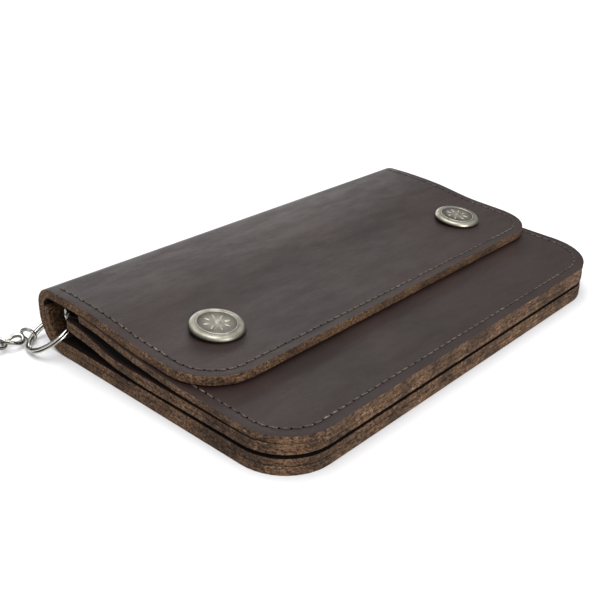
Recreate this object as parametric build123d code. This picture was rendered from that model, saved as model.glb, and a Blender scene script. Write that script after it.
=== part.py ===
"""Long leather chain wallet: a wrapped outer leather, two inner leaves, a zip
pocket, two press snaps, a split ring in an eyelet and a curb chain with a clasp.

Millimetres.  The wallet lies on its back: X runs along its length, +Y from the
open front edge to the spine, +Z up.  The origin is on the table, under the
middle of the closed wallet.
"""
from build123d import *
import math
import os

os.makedirs("parts", exist_ok=True)

# ---------------------------------------------------------------- driving sizes
length = 180.0            # along X, without the ring and chain
depth = 110.0             # front edge to spine
height = 21.5             # over the top of the spine
leather = 3.0             # outer leather
lining_t = 1.8            # lining glued to the back and up the spine
corner_r = 17.0           # front corners of every leaf and of the flap

lower_bend_r = 12.5       # outside radius, back to spine
upper_bend_r = 6.5        # outside radius, spine to flap
fold_gap = 0.15           # half of the gap at each fold line

# Side views as (y, z): each leaf's underside, and the flap's top, front edge first.
flap_line = [(-24.5, 16.3), (-11.0, 16.8), (8.0, 18.3), (15.5, 19.7), (23.0, 21.0), (41.0, 21.5)]
middle_line = [(-55.0, 5.0), (9.0, 5.6), (25.0, 8.6), (41.0, 8.8)]
front_line = [(-55.0, 9.3), (-25.0, 10.2), (-9.0, 10.8), (6.0, 12.1), (14.0, 13.4), (24.0, 14.9),
              (36.5, 15.6)]
middle_layers = (2.0, 2.0)
front_layers = (1.0, 1.4)  # lining, then outer leather
leaf_end_r = 1.5          # corners of the leaves beside the spine

gusset_inset = 6.0
gusset_t = 0.8
card_width = 100.0
card_t = 0.6
card_front_y = 5.0
card_mouths = (31.0, 20.0)  # mouth of the rear pocket, then of the front one

snap_x = 65.5
snap_y = -1.5
cap_r = 8.8
cap_rim_h = 1.1
cap_dome_h = 2.2
post_r = 2.2
socket_r = 6.3
socket_top = -1.75        # below the flap's top face
socket_bottom = -3.45
socket_bore_r = 3.3
socket_bore_top = -2.2
stud_flange_r = 5.0
stud_ball_r = 2.8
stud_seat = -0.6          # from the front leaf's face
stud_flange_top = 0.1
stud_top = 1.2
rivet_r = 1.4
rivet_flange_r = 4.2
rivet_flange_t = 0.5
fit_gap = 0.1             # around snap parts set into leather

zip_y = 42.0              # back of the two rows of teeth
zip_row_t = 1.8
zip_row_h = 1.6
zip_mid_z = 14.4
zip_half_gap = 0.1
zip_start_x, zip_end_x = -68.0, 70.0
tape_t = 0.45
tape_front_y = 33.0
slider_x, slider_len = 64.5, 9.0
slider_wall = 0.6
slider_clear = 0.2
pull_len = 15.0

eyelet_x = -80.5
eyelet_angle = -18.0      # on the lower bend, measured from +Y
eyelet_bore_r = 2.5
eyelet_barrel_r = 3.2
eyelet_flange_r = 4.3
eyelet_flange_t = 0.6

ring_r = 9.0              # mean radius of the split ring
ring_axial = 1.8          # two strands side by side
ring_radial = 1.4
ring_dip = 25.0           # how far the ring tips down to the table

chain_d = 5.6             # width over the curb links
coil_centre = (-157.5, 52.5)
coil_entry_angle = 58.0   # where the chain meets the outer turn
coil_outer_r = 37.3       # middle of the outer turn
coil_inner_r = 26.1       # middle of the inner turn
clasp_offset = -5.9       # clasp's line, from the coil's centre along X
clasp_eye_y = 0.8         # eye's centre, from the coil's centre along Y

half_length = length / 2
front_y = -depth / 2
spine_y = depth / 2


# ---------------------------------------------------------------- helpers
def save(node, shape):
    shape.label = node
    export_step(shape, f"parts/{node}.step")


def group(solids):
    return Compound(children=list(solids))


def point_on(centre, radius, degrees):
    a = math.radians(degrees)
    return (centre[0] + radius * math.cos(a), centre[1] + radius * math.sin(a))


def outline(y0, y1, front_r, back_r, half_x=half_length):
    """Plan of a leaf, as a tall block: rounded at the front and at the back."""
    plan = Pos(0, (y0 + y1) / 2) * Rectangle(2 * half_x, y1 - y0)
    corners = plan.vertices().sort_by(Axis.Y)
    if front_r > 0:
        plan = fillet(corners[:2], front_r)
        corners = plan.vertices().sort_by(Axis.Y)
    if back_r > 0:
        plan = fillet(corners[-2:], back_r)
    return extrude(plan, 60)


def section(edges, half_x=half_length):
    """A face drawn in the YZ plane, drawn out along X both ways."""
    face = Plane.YZ * make_face(edges)
    return extrude(face, half_x, both=True)


def polygon(points):
    return Polyline(*points, close=True).edges()


def line_z(line, y):
    """Height of a side-view line at y, level beyond its ends."""
    if y <= line[0][0]:
        return line[0][1]
    for (y0, z0), (y1, z1) in zip(line, line[1:]):
        if y <= y1:
            return z0 + (z1 - z0) * (y - y0) / (y1 - y0)
    return line[-1][1]


def line_tilt(line, y):
    return math.degrees(math.atan2(line_z(line, y + 1) - line_z(line, y - 1), 2))


def layer(line, lift, thickness, y0, y1, half_x=half_length, front_r=corner_r, back_r=leaf_end_r):
    """A layer that follows a side-view line, lifted off it, from y0 to y1."""
    stations = [y0] + [y for y, z in line if y0 < y < y1] + [y1]
    under = [(y, line_z(line, y) + lift) for y in stations]
    over = [(y, z + thickness) for y, z in reversed(under)]
    return section(polygon(under + over), half_x) & outline(y0, y1, front_r, back_r, half_x)


def at(x, y, z, tilt=0.0):
    return Location((x, y, z), (tilt, 0, 0))


def disc(radius, z0, z1):
    return Pos(0, 0, (z0 + z1) / 2) * Cylinder(radius, z1 - z0)


# ---------------------------------------------------------------- outer leather
lower_centre = (spine_y - lower_bend_r, lower_bend_r)
upper_centre = (spine_y - upper_bend_r, height - upper_bend_r)
lower_gap = math.degrees(fold_gap / lower_bend_r)
upper_gap = math.degrees(fold_gap / upper_bend_r)


def arc(centre, radius, a0, a1):
    return CenterArc(centre, radius, a0, a1 - a0)


def back_layer(outer_r, thickness, y0, corner):
    """A layer of the back that turns up into the lower bend, as far as its fold line."""
    a = -45 - lower_gap
    inner_r = outer_r - thickness
    low = lower_bend_r - outer_r
    edges = [Line((y0, low), (lower_centre[0], low)),
             arc(lower_centre, outer_r, -90, a),
             Line(point_on(lower_centre, outer_r, a), point_on(lower_centre, inner_r, a)),
             arc(lower_centre, inner_r, -90, a),
             Line((lower_centre[0], low + thickness), (y0, low + thickness)),
             Line((y0, low + thickness), (y0, low))]
    return section(edges) & outline(y0, spine_y, corner, 0)


def spine_wall():
    a = -45 + lower_gap
    b = 45 - upper_gap
    inner_low, inner_up = lower_bend_r - leather, upper_bend_r - leather
    edges = [arc(lower_centre, lower_bend_r, a, 0),
             Line(point_on(lower_centre, lower_bend_r, 0), point_on(upper_centre, upper_bend_r, 0)),
             arc(upper_centre, upper_bend_r, 0, b),
             Line(point_on(upper_centre, upper_bend_r, b), point_on(upper_centre, inner_up, b)),
             arc(upper_centre, inner_up, 0, b),
             Line(point_on(upper_centre, inner_up, 0), point_on(lower_centre, inner_low, 0)),
             arc(lower_centre, inner_low, a, 0),
             Line(point_on(lower_centre, inner_low, a), point_on(lower_centre, lower_bend_r, a))]
    return section(edges)


def spine_lining():
    a = -45 + lower_gap
    outer_r = lower_bend_r - leather
    inner_r = outer_r - lining_t
    y0, y1 = point_on(lower_centre, inner_r, 0)[0], point_on(lower_centre, outer_r, 0)[0]
    edges = [arc(lower_centre, outer_r, a, 0),
             Line((y1, lower_centre[1]), (y1, upper_centre[1])),
             Line((y1, upper_centre[1]), (y0, upper_centre[1])),
             Line((y0, upper_centre[1]), (y0, lower_centre[1])),
             arc(lower_centre, inner_r, a, 0),
             Line(point_on(lower_centre, inner_r, a), point_on(lower_centre, outer_r, a))]
    return section(edges)


def flap_leather():
    a = 45 + upper_gap
    inner_r = upper_bend_r - leather
    top = flap_line + [point_on(upper_centre, upper_bend_r, 90)]
    under = [(y, z - leather) for y, z in top]
    edges = [arc(upper_centre, upper_bend_r, a, 90),
             *Polyline(*reversed(top)).edges(),
             Line(top[0], under[0]),
             *Polyline(*under).edges(),
             arc(upper_centre, inner_r, a, 90),
             Line(point_on(upper_centre, inner_r, a), point_on(upper_centre, upper_bend_r, a))]
    return section(edges) & outline(flap_line[0][0], spine_y, corner_r, 0)


# ---------------------------------------------------------------- snaps
def snap_places(z, slope):
    return [at(x, snap_y, z, slope) for x in (-snap_x, snap_x)]


panel_t = sum(front_layers)
flap_places = snap_places(line_z(flap_line, snap_y), line_tilt(flap_line, snap_y))
panel_places = snap_places(line_z(front_line, snap_y) + panel_t, line_tilt(front_line, snap_y))


def snap_cap():
    """Domed cap with a raised rim and a plain raised rosette, on a hollow post."""
    body = disc(cap_r, 0, cap_rim_h)
    body = fillet(body.edges().group_by(Axis.Z)[-1], 0.5)
    dome_r = (cap_r ** 2 + (cap_dome_h - 0.4) ** 2) / (2 * (cap_dome_h - 0.4))
    dome = Pos(0, 0, cap_dome_h - dome_r) * Sphere(dome_r)
    dome = dome & disc(cap_r - 0.9, 0.2, cap_dome_h + 1)
    post = disc(post_r, socket_top, 0.1)
    return body + dome + post


def snap_socket():
    body = disc(socket_r, socket_bottom, socket_top)
    body = fillet(body.edges().group_by(Axis.Z)[0], 0.4)
    return body - disc(socket_bore_r, socket_bottom - 1, socket_bore_top)


def snap_stud():
    flange = disc(stud_flange_r, stud_seat, stud_flange_top)
    ball = disc(stud_ball_r, 0, stud_top)
    ball = fillet(ball.edges().group_by(Axis.Z)[-1], 0.6)
    return flange + ball


def stud_rivet():
    shank = disc(rivet_r, -panel_t - 0.1, stud_seat)
    return shank + disc(rivet_flange_r, -panel_t - rivet_flange_t, -panel_t)


def make_snaps():
    save("snap_caps", group(p * snap_cap() for p in flap_places))
    save("snap_sockets", group(p * snap_socket() for p in flap_places))
    save("snap_studs", group(p * snap_stud() for p in panel_places))
    save("snap_stud_rivets", group(p * stud_rivet() for p in panel_places))


# ---------------------------------------------------------------- eyelet and ring
wall_t = leather + lining_t
eyelet_mid_r = lower_bend_r - wall_t / 2
eyelet_at = point_on(lower_centre, eyelet_mid_r, eyelet_angle)
eyelet_plane = Plane(origin=(eyelet_x, *eyelet_at), x_dir=(1, 0, 0),
                     z_dir=(0, math.cos(math.radians(eyelet_angle)), math.sin(math.radians(eyelet_angle))))
outer_seat = math.sqrt(lower_bend_r ** 2 - eyelet_barrel_r ** 2) - eyelet_mid_r
inner_seat = math.sqrt((lower_bend_r - wall_t) ** 2 - eyelet_barrel_r ** 2) - eyelet_mid_r


def eyelet_cut():
    """The hole, and flat seats for the two flanges."""
    hole = disc(eyelet_barrel_r + 0.02, -6, 6)
    outer = disc(eyelet_flange_r + 0.1, outer_seat, outer_seat + 6)
    inner = disc(eyelet_flange_r + 0.1, inner_seat - 2, inner_seat)
    return eyelet_plane * (hole + outer + inner)


def eyelet_outer():
    flange = disc(eyelet_flange_r, outer_seat, outer_seat + eyelet_flange_t)
    flange = fillet(flange.edges().group_by(Axis.Z)[-1], 0.25)
    barrel = disc(eyelet_barrel_r, inner_seat - eyelet_flange_t, outer_seat + 0.1)
    return eyelet_plane * (flange + barrel - disc(eyelet_bore_r, -6, 6))


def eyelet_washer():
    ring = disc(eyelet_flange_r, inner_seat - eyelet_flange_t, inner_seat)
    return eyelet_plane * (ring - disc(eyelet_barrel_r + 0.03, -6, 6))


def unit(v):
    size = math.sqrt(sum(c * c for c in v))
    return tuple(c / size for c in v)


n_dir = Vector(0, math.cos(math.radians(eyelet_angle)), math.sin(math.radians(eyelet_angle)))
down_dir = Vector(0, math.sin(math.radians(eyelet_angle)), -math.cos(math.radians(eyelet_angle)))
dip = math.radians(ring_dip)
out_dir = Vector(-1, 0, 0) * math.cos(dip) + down_dir * math.sin(dip)
eyelet_point = Vector(eyelet_x, *eyelet_at)
ring_centre = eyelet_point + out_dir * ring_r


def split_ring():
    """One closed ring through the eyelet, round the end of the spine."""
    plane = Plane(origin=ring_centre, x_dir=out_dir, z_dir=out_dir.cross(n_dir))
    body = disc(ring_r + ring_radial / 2, -ring_axial / 2, ring_axial / 2)
    body = body - disc(ring_r - ring_radial / 2, -2, 2)
    body = fillet(body.edges(), 0.3)
    return plane * body


# ---------------------------------------------------------------- zip pocket
def gusset(side):
    """Folded side wall of the pocket, between the middle and the front leaf."""
    y0, y1 = front_y + gusset_inset, front_line[-1][0] - 2
    lift = sum(middle_layers)
    low = [(y0, line_z(middle_line, y0) + lift)]
    low += [(y, z + lift) for y, z in middle_line if y0 < y < y1]
    low += [(y1, line_z(middle_line, y1) + lift)]
    high = [(y0, line_z(front_line, y0))]
    high += [(y, z) for y, z in front_line if y0 < y < y1]
    high += [(y1, line_z(front_line, y1))]
    wall = section(polygon(low + high[::-1]), gusset_t / 2)
    return Pos(side * (half_length - gusset_inset), 0, 0) * wall


def zip_tape(line, lift):
    half = (zip_end_x - zip_start_x) / 2
    tape = layer(line, lift, tape_t, tape_front_y, zip_y, half, 0, 0)
    return Pos((zip_start_x + zip_end_x) / 2, 0, 0) * tape


def zip_row(upper):
    low = zip_mid_z + zip_half_gap if upper else zip_mid_z - zip_half_gap - zip_row_h
    size = (zip_end_x - zip_start_x, zip_row_t, zip_row_h)
    place = Pos((zip_start_x + zip_end_x) / 2, zip_y + zip_row_t / 2, low + zip_row_h / 2)
    row = place * Box(*size)
    return fillet(row.edges().filter_by(Axis.X).sort_by(Axis.Y)[-2:], 0.3)


def zip_stops():
    tall = 2 * (zip_row_h + zip_half_gap) + 0.6
    stop = Box(1.4, zip_row_t, tall)
    y = zip_y + zip_row_t / 2
    return group([Pos(zip_start_x - 0.7, y, zip_mid_z) * stop,
                  Pos(zip_end_x + 0.7, y, zip_mid_z) * stop])


slider_half_z = zip_row_h + zip_half_gap + slider_clear
pin_y = zip_y + zip_row_t + slider_clear + slider_wall + 1.2


def zip_slider():
    """Channel round the two rows, open behind for the tapes, with two ears and a pin."""
    y0 = zip_y - slider_clear - slider_wall
    y1 = zip_y + zip_row_t + slider_clear + slider_wall
    outer = Box(slider_len, y1 - y0, 2 * (slider_half_z + slider_wall))
    outer = fillet(outer.edges().filter_by(Axis.X), 0.4)
    cavity = Box(slider_len + 2, zip_row_t + 2 * slider_clear, 2 * slider_half_z)
    body = Pos(slider_x, (y0 + y1) / 2, zip_mid_z) * (outer - cavity)
    slot = Pos(slider_x, y0, zip_mid_z + 0.05) * Box(slider_len + 2, 3, 3.2)
    body = body - slot
    for side in (-1, 1):
        ear = Pos(slider_x, (y1 + pin_y) / 2 + 0.3, zip_mid_z + side * 1.3) * Box(2.4, pin_y - y1 + 0.9, 0.8)
        body = body + ear
    return body + Pos(slider_x, pin_y, zip_mid_z) * Cylinder(0.5, 3.2)


def zip_pull():
    """Tab that hangs on the slider's pin and lies back along the zip."""
    neck = Pos(-2.2, 0, 0) * Box(4.4, 1.0, 1.5)
    tab = Pos(-(pull_len + 3.4) / 2, 0, 0) * Box(pull_len - 3.4, 1.0, 3.6)
    tab = fillet(tab.edges().filter_by(Axis.Y), 1.0)
    body = Cylinder(1.05, 1.5) + neck + tab
    body = body - Cylinder(0.56, 4)
    body = body - Pos(2.0 - pull_len, 0, 0) * (Rotation(90, 0, 0) * Cylinder(0.7, 4))
    return Pos(slider_x, pin_y, zip_mid_z) * body


# ---------------------------------------------------------------- chain and clasp
chain_z = chain_d / 2
entry = point_on(coil_centre, coil_outer_r, coil_entry_angle)
run_heading = math.radians(coil_entry_angle + 90)
# Each route is a short list of hand-set points; the last point of the run lies
# on the outer turn, where the run meets it along its tangent.
chain_run_route = [(-97.8, 59.1, chain_z),
                   (-104.5, 60.6, chain_z),
                   (-117.0, 68.0, chain_z),
                   (entry[0] - 12 * math.cos(run_heading), entry[1] - 12 * math.sin(run_heading), chain_z),
                   (entry[0], entry[1], chain_z)]
chain_tail_route = [(coil_centre[0] + 19.7, coil_centre[1] + 19.9, chain_z),
                    (coil_centre[0] + 5.2, coil_centre[1] + 26.7, chain_z),
                    (coil_centre[0] + clasp_offset, coil_centre[1] + 19.6, chain_z),
                    (coil_centre[0] + clasp_offset, coil_centre[1] + 5.6, chain_z)]


def route_radii(points):
    """One radius per corner: 0.45 of the shorter run over the tangent of half the turn."""
    radii = []
    for before, here, after in zip(points, points[1:], points[2:]):
        first = Vector(*here) - Vector(*before)
        second = Vector(*after) - Vector(*here)
        turn = math.radians(first.get_angle(second))
        radii.append(0.45 * min(first.length, second.length) / math.tan(turn / 2))
    return radii


def tube(node, points):
    radii = route_radii(points)
    path = FilletPolyline(*points, radius=radii)
    start = Plane(origin=path @ 0, z_dir=path % 0)
    body = sweep(start * Circle(chain_d / 2), path=path)
    expected = math.pi * chain_d ** 2 / 4 * path.length
    print(node, "length", round(path.length, 1), "radii", [round(r, 1) for r in radii],
          "volume ratio", round(body.volume / expected, 4))
    return body


def chain_coil():
    """Outer shape of the wound chain, flat on the table."""
    wide = disc(coil_outer_r + chain_d / 2, 0, chain_d)
    hole = disc(coil_inner_r - chain_d / 2, -1, chain_d + 1)
    ring = wide - hole
    return Pos(*coil_centre, 0) * fillet(ring.edges(), 1.5)


eye_to_hook = 16.5
hook_r, hook_inner_r, hook_t = 6.0, 3.2, 3.4
gate_pivot = (hook_r * -0.66, hook_r * 0.50)
gate_t = 1.6
gate_reach = 6.4          # from the gate's pivot to its tip
clasp_axis = Location((coil_centre[0] + clasp_offset, coil_centre[1] + clasp_eye_y, chain_z), (0, 0, -90))
hook_centre_x = eye_to_hook


def clasp_eye():
    """Swivel eye: a ring, a stem and a head that turns inside the clasp's barrel."""
    ring = Torus(3.2, 1.0)
    stem = Rotation(0, 90, 0) * disc(1.1, 3.6, 7.4)
    head = Rotation(0, 90, 0) * disc(1.7, 7.3, 8.3)
    return clasp_axis * (ring + stem + head)


def sector(r0, r1, a0, a1, half_t):
    edges = [CenterArc((0, 0), r1, a0, a1 - a0),
             Line(point_on((0, 0), r1, a1), point_on((0, 0), r0, a1)),
             CenterArc((0, 0), r0, a0, a1 - a0),
             Line(point_on((0, 0), r0, a0), point_on((0, 0), r1, a0))]
    return Pos(0, 0, -half_t) * extrude(make_face(edges), 2 * half_t)


def clasp_body():
    """Barrel, and a hook whose mouth the gate closes."""
    barrel = Rotation(0, 90, 0) * disc(2.5, 5.2, 10.2)
    bridge = Pos(10.6, -0.4, 0) * Box(2.6, 5.4, hook_t)
    pivot = Pos(hook_centre_x + gate_pivot[0], gate_pivot[1], 0)
    hook = Pos(hook_centre_x, 0, 0) * sector(hook_inner_r, hook_r, 165, 395, hook_t / 2)
    nose = Pos(hook_centre_x, 0, 0) * sector(hook_inner_r, hook_r, 30, 62, hook_t / 2)
    nose = nose - pivot * Cylinder(gate_reach + 0.3, 9)
    body = barrel + bridge + hook + pivot * Cylinder(1.9, hook_t)
    body = body - Rotation(0, 90, 0) * disc(1.2, 5, 7.2)
    body = body - Rotation(0, 90, 0) * disc(1.85, 7.1, 8.6)
    room = pivot * Cylinder(2.1, gate_t + 0.4)
    swing = Pos(hook_centre_x, 0, 0) * sector(hook_inner_r - 1.2, hook_r + 1, 66, 150, gate_t / 2 + 0.2)
    body = body - room - swing + nose
    return clasp_axis * (body - pivot * Cylinder(0.6, 9))


def clasp_pin():
    return clasp_axis * (Pos(hook_centre_x + gate_pivot[0], gate_pivot[1], 0) * Cylinder(0.6, hook_t))


def clasp_gate():
    """Lever that closes the hook, with a thumb knob."""
    pivot = Pos(hook_centre_x + gate_pivot[0], gate_pivot[1], 0)
    lever = Pos(hook_centre_x, 0, 0) * sector(hook_inner_r + 0.3, hook_r - 0.3, 39, 143, gate_t / 2)
    lever = lever & pivot * Cylinder(gate_reach, gate_t)
    boss = pivot * Cylinder(1.6, gate_t)
    knob = Pos(hook_centre_x - 1.4, hook_r + 0.1, 0) * Box(1.6, 1.8, gate_t)
    return clasp_axis * (lever + boss + knob - pivot * Cylinder(0.66, 5))


# ---------------------------------------------------------------- build
def make_leaves():
    save("back_panel", back_layer(lower_bend_r, leather, front_y, corner_r))
    lining = back_layer(lower_bend_r - leather, lining_t, front_y + 1, corner_r - 1)
    save("back_lining", lining - eyelet_plane * disc(eyelet_flange_r + 0.9, inner_seat - 3, inner_seat + 0.5))
    lower, upper = middle_layers
    middle_end = middle_line[-1][0]
    save("middle_lining", layer(middle_line, 0, lower, front_y, middle_end))
    save("middle_panel", layer(middle_line, lower, upper, front_y, middle_end))
    lining, outer = front_layers
    front_end = front_line[-1][0]
    bore = group(p * disc(rivet_r + 0.05, -panel_t - 1, 1) for p in panel_places)
    seat = group(p * disc(stud_flange_r + fit_gap, stud_seat, 1) for p in panel_places)
    save("front_lining", layer(front_line, 0, lining, front_y, front_end) - bore)
    save("front_panel", layer(front_line, lining, outer, front_y, front_end) - bore - seat)


def make_outer():
    save("spine", spine_wall() - eyelet_cut())
    save("spine_lining", spine_lining() - eyelet_cut())
    bore = group(p * disc(post_r + 0.05, -5, 1) for p in flap_places)
    seat = group(p * disc(socket_r + fit_gap, -5, socket_top) for p in flap_places)
    save("flap", flap_leather() - bore - seat)
    save("eyelet", eyelet_outer())
    save("eyelet_washer", eyelet_washer())
    save("split_ring", split_ring())


def make_pockets():
    for name, side in (("gusset_left", -1), ("gusset_right", 1)):
        save(name, gusset(side))
    for name, mouth, level in (("card_pocket_rear", card_mouths[0], 0),
                               ("card_pocket_front", card_mouths[1], 1)):
        lift = sum(middle_layers) + level * card_t
        save(name, layer(middle_line, lift, card_t, card_front_y, mouth, card_width / 2, 3.0, 0.5))
    save("zip_tape_upper", zip_tape(front_line, -tape_t))
    save("zip_tape_lower", zip_tape(middle_line, sum(middle_layers) + 0.15))
    save("zip_teeth_upper", zip_row(True))
    save("zip_teeth_lower", zip_row(False))
    save("zip_stops", zip_stops())
    save("zip_slider", zip_slider())
    save("zip_pull", zip_pull())


def make_chain():
    save("chain_run", tube("chain_run", chain_run_route))
    save("chain_coil", chain_coil())
    save("chain_tail", tube("chain_tail", chain_tail_route))
    save("clasp_eye", clasp_eye())
    save("clasp_body", clasp_body())
    save("clasp_pin", clasp_pin())
    save("clasp_gate", clasp_gate())


def print_axes():
    """Places that the joints and mounts use."""
    print("lower fold axis", [round(v, 3) for v in point_on(lower_centre, lower_bend_r, -45)])
    print("upper fold axis", [round(v, 3) for v in point_on(upper_centre, upper_bend_r, 45)])
    print("eyelet centre", [round(v, 3) for v in eyelet_point], "axis", [round(v, 4) for v in n_dir])
    print("ring centre", [round(v, 3) for v in ring_centre], "outwards", [round(v, 4) for v in out_dir])
    print("zip pull pin", slider_x, round(pin_y, 3), zip_mid_z)
    gate = clasp_axis * Pos(hook_centre_x + gate_pivot[0], gate_pivot[1], 0)
    hook = clasp_axis * Pos(hook_centre_x, 0, 0)
    print("gate pivot", [round(v, 3) for v in gate.position], "hook centre", [round(v, 3) for v in hook.position])
    print("snap top", round(line_z(flap_line, snap_y), 3), "flap tilt", round(line_tilt(flap_line, snap_y), 3),
          "panel top", round(line_z(front_line, snap_y) + panel_t, 3), "tilt", round(line_tilt(front_line, snap_y), 3))


make_leaves()
make_outer()
make_snaps()
make_pockets()
make_chain()
print_axes()
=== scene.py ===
# %% [markdown]
# # Chain wallet
# The looks of a long leather wallet with a wrapped flap, two snaps and a curb chain.
# Everything is in metres, in the same frame as the fixed parts.

# %%
import bpy
import math
from mathutils import Matrix, Vector


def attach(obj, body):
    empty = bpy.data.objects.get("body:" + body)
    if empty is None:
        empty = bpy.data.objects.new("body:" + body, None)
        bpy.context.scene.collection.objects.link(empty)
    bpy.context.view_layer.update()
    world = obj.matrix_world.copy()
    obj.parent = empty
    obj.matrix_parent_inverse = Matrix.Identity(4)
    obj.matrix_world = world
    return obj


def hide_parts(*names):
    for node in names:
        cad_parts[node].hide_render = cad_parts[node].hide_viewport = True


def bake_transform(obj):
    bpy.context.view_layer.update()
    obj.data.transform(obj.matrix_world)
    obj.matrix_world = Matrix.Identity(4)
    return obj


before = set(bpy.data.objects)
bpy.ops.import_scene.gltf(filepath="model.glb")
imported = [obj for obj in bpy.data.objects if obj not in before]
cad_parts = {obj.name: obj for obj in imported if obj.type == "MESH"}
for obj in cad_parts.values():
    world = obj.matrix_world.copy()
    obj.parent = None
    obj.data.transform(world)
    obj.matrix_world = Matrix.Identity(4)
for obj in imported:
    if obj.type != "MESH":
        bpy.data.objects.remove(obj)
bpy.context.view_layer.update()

# %% [markdown]
# ## Driving sizes
# The side views are lists of (y, z) in millimetres, front edge first.

# %%
MM = 0.001
half_length = 90.0
front_y, spine_y, height = -55.0, 55.0, 21.5
leather, lining_t = 3.0, 1.8
corner_r, right_corner_r = 17.0, 22.0
slip, slip_from_y, right_pull = 2.3, 38.0, 0.6
lower_r, upper_r = 12.5, 6.5
flap_line = [(-24.5, 16.3), (-11.0, 16.7), (8.0, 17.9), (15.5, 19.1), (23.0, 20.3), (31.0, 21.0),
             (41.0, 21.5)]
middle_line = [(-55.0, 6.65), (-20.0, 6.45), (0.0, 6.25), (7.5, 6.5), (15.0, 6.8), (20.6, 7.8), (27.7, 9.3),
               (33.2, 9.8), (38.8, 10.5), (41.3, 11.0)]
middle_top = [(-55.0, 9.9), (-10.0, 9.6), (11.9, 9.5), (19.0, 9.7), (23.6, 11.0), (27.4, 12.3), (34.2, 13.4),
              (38.2, 14.1), (41.3, 14.2)]
front_line = [(-55.0, 9.95), (-25.0, 10.5), (-9.0, 10.95), (4.0, 12.1), (11.6, 12.9), (16.2, 13.7),
              (20.9, 14.6), (25.6, 15.3), (34.5, 15.8)]
leaf_end_r = 1.6
front_over_lift, front_over_t = 0.85, 1.4
snap_x, snap_y = 65.5, -1.5

# %% [markdown]
# ## Small helpers
# Every new piece starts as a primitive and is worked on in edit mode.


# %%
def only(obj):
    bpy.ops.object.select_all(action="DESELECT")
    obj.select_set(True)
    bpy.context.view_layer.objects.active = obj
    return obj


def named(name):
    obj = bpy.context.object
    obj.name = name
    obj.data.name = name
    return obj


def pick(obj, test):
    """Selects the vertices of obj that pass the test, and leaves it in edit mode."""
    only(obj)
    bpy.ops.object.mode_set(mode="EDIT")
    bpy.ops.mesh.select_mode(type="VERT")
    bpy.ops.mesh.select_all(action="DESELECT")
    bpy.ops.object.mode_set(mode="OBJECT")
    for vertex in obj.data.vertices:
        vertex.select = test(vertex.co)
    bpy.ops.object.mode_set(mode="EDIT")


def done():
    bpy.ops.object.mode_set(mode="OBJECT")


def apply_all(obj):
    only(obj)
    for name in [m.name for m in obj.modifiers]:
        bpy.ops.object.modifier_apply(modifier=name)
    return obj


def join(name, parts):
    only(parts[0])
    for part in parts[1:]:
        part.select_set(True)
    bpy.ops.object.join()
    return named(name)


def line_z(line, y):
    if y <= line[0][0]:
        return line[0][1]
    for (y0, z0), (y1, z1) in zip(line, line[1:]):
        if y <= y1:
            return z0 + (z1 - z0) * (y - y0) / (y1 - y0)
    return line[-1][1]


def smooth_z(line, y, reach=3.5):
    """The line's height, eased over its corners as leather bends."""
    steps = 9
    total = 0.0
    for i in range(steps):
        total += line_z(line, y + reach * (2 * i / (steps - 1) - 1))
    return total / steps


def report(obj):
    print(obj.name, len(obj.data.polygons), "faces")
    return obj


# %% [markdown]
# ## Sheets pulled out row by row
# A row of points across the wallet is extruded along the side view. Narrowing each
# row near an end rounds that end's corners.

# %%
def half_width(y, y0, y1, front_r, back_r, half_x):
    """Half width of a rounded sheet at y."""
    for radius, gap in ((front_r, y - y0), (back_r, y1 - y)):
        if radius > 0 and gap < radius:
            return half_x - radius + math.sqrt(max(0.0, radius ** 2 - (radius - gap) ** 2))
    return half_x


def askew(y):
    """How far the cut front part of the wallet has slipped along to the ring's end at y."""
    return -slip * max(0.0, slip_from_y - y) / (slip_from_y - front_y)


def cut_row(y, z, y0, y1, back_r, trim=0.0):
    """One row of a sheet that is cut askew, its right front corner rounder than its left one."""
    left = half_width(y, y0, y1, corner_r, back_r, half_length - trim)
    right = half_width(y, y0, y1, right_corner_r, back_r, half_length - trim) + right_pull * askew(y)
    return y, z, (left + right) / 2, (right - left) / 2 + askew(y)


def stations(y0, y1, front_r, back_r, step=3.0):
    """Row places along y: closer together in the rounded corners."""
    places = [y0, y1]
    for i in range(1, 15):
        turn = math.radians(90 * i / 14)
        if front_r > 0:
            places.append(y0 + front_r * (1 - math.cos(turn)))
        if back_r > 0:
            places.append(y1 - back_r * (1 - math.cos(turn)))
    count = int((y1 - y0 - front_r - back_r) / step)
    for i in range(1, count + 1):
        places.append(y0 + front_r + (y1 - y0 - front_r - back_r) * i / (count + 1))
    return sorted(set(round(p, 4) for p in places))


def pull_sheet(name, rows, columns=60):
    """Rows are (y, z, half width, middle), in millimetres."""
    bpy.ops.mesh.primitive_grid_add(x_subdivisions=columns, y_subdivisions=1, size=2)
    obj = named(name)
    pick(obj, lambda co: co.y > 0)
    bpy.ops.mesh.delete(type="VERT")
    bpy.ops.mesh.select_all(action="SELECT")
    y0, z0, half, middle = rows[0]
    bpy.ops.transform.resize(value=(half * MM, 1, 1), center_override=(0, 0, 0))
    bpy.ops.transform.translate(value=(middle * MM, y0 * MM + 1, z0 * MM))
    for (y0, z0, h0, m0), (y1, z1, h1, m1) in zip(rows, rows[1:]):
        move = {"value": ((m1 - m0) * MM, (y1 - y0) * MM, (z1 - z0) * MM)}
        bpy.ops.mesh.extrude_edges_move(TRANSFORM_OT_translate=move)
        if abs(h1 - h0) > 1e-6:
            bpy.ops.transform.resize(value=(h1 / h0, 1, 1), center_override=(m1 * MM, y1 * MM, z1 * MM))
    done()
    return obj


def face_out(obj, outwards):
    """Turns the sheet's faces over if its first face looks the wrong way."""
    if obj.data.polygons[0].normal.dot(Vector(outwards)) < 0:
        pick(obj, lambda co: True)
        bpy.ops.mesh.flip_normals()
        done()


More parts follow.
